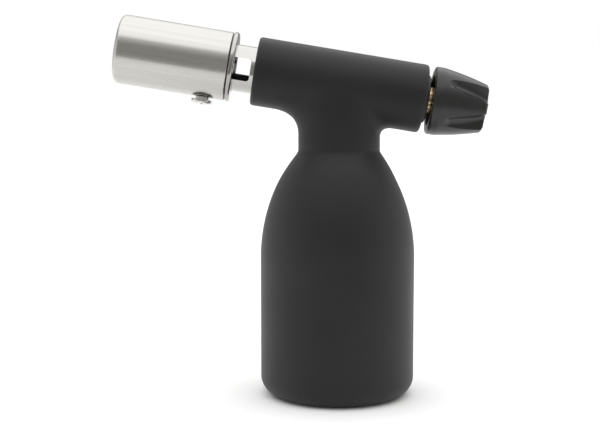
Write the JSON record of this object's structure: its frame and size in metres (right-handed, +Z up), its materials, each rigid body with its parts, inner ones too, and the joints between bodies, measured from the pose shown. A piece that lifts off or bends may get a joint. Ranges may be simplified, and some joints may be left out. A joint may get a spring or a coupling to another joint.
{
  "type": "butane torch",
  "caption": "Free-standing hand torch: bottle-shaped fuel body, tilted head tube, windowed neck tube, burner barrel, and a fluted knob that turns for gas and pushes for spark.",
  "frame": {"origin": "centre of the flat base, on the bottle's axis", "axes": "+Z up, -X towards the nozzle end, +X towards the knob, -Y the side seen first"},
  "size_m": [0.1422, 0.059, 0.1453],
  "materials": {
    "soft_black": "soft-touch matte",
    "gloss_black": "glossy moulded",
    "black_plastic": "moulded",
    "brushed_steel": "brushed along the barrel",
    "chrome": "polished",
    "steel": "plain",
    "brass": "turned",
    "tank_white": "natural acetal",
    "rubber": "nitrile",
    "ceramic": "glazed ceramic",
    "wick_fibre": "packed fibre",
    "wire_black": "silicone sleeve",
    "aluminium": "turned"
  },
  "bodies": {
    "root": {"body_shell": "soft_black", "base_cap": "soft_black", "base_screws": "steel", "fuel_tank": "tank_white", "tank_lid": "tank_white", "tank_seal": "rubber", "fill_valve_body": "brass", "fill_valve_spring": "steel", "fill_valve_seal": "rubber", "outlet_seal": "rubber", "outlet_fitting": "brass", "wick": "wick_fibre", "flow_filter": "brass", "outlet_nut": "brass", "feed_tube": "brass", "valve_block": "brass", "gland_nut": "brass", "rear_bush": "black_plastic", "push_spring": "steel", "piezo_body": "black_plastic", "piezo_anvil": "steel", "piezo_crystal": "ceramic", "piezo_terminal": "steel", "hammer_spring": "steel", "piezo_return_spring": "steel", "gas_tube": "brass", "jet_holder": "aluminium", "gas_jet": "brass", "front_bush": "black_plastic", "neck_tube": "chrome", "mixing_tube": "steel", "burner_carrier": "aluminium", "barrel_cap": "chrome", "barrel": "brushed_steel", "flame_head": "brass", "barrel_screw": "steel", "ignition_wire": "wire_black", "electrode_insulator": "ceramic", "spark_electrode": "steel"},
    "valve_stem": {"valve_stem": "brass", "stem_oring": "rubber"},
    "knob": {"knob": "gloss_black", "knob_spindle": "brass"},
    "igniter": {"push_bridge": "black_plastic", "piezo_plunger": "black_plastic"},
    "hammer": {"piezo_hammer": "steel"},
    "fill_stem": {"fill_valve_stem": "brass"}
  },
  "joints": [
    {"name": "knob_turn", "type": "hinge", "parent": "root", "child": "valve_stem", "pos_m": [0, 0, 0.119], "axis": [0.9866, 0, -0.1633], "range_deg": [0, 270]},
    {"name": "knob_push", "type": "slide", "parent": "valve_stem", "child": "knob", "axis": [-0.9866, 0, 0.1633], "range_m": [0, 0.0022], "stiffness_N_per_m": 4000},
    {"name": "igniter_push", "type": "slide", "parent": "root", "child": "igniter", "axis": [-0.9866, 0, 0.1633], "range_m": [0, 0.0022], "deforming": ["push_spring", "piezo_return_spring", "hammer_spring"]},
    {"name": "hammer_strike", "type": "slide", "parent": "root", "child": "hammer", "axis": [-0.9866, 0, 0.1633], "range_m": [0, 0.0022], "stiffness_N_per_m": 800},
    {"name": "fill_valve_push", "type": "slide", "parent": "root", "child": "fill_stem", "axis": [0, 0, 1], "range_m": [0, 0.0015], "stiffness_N_per_m": 1500, "deforming": ["fill_valve_spring"]}
  ],
  "couplings": [
    {"joint": "igniter_push", "follows": "knob_push", "ratio": 1}
  ]
}
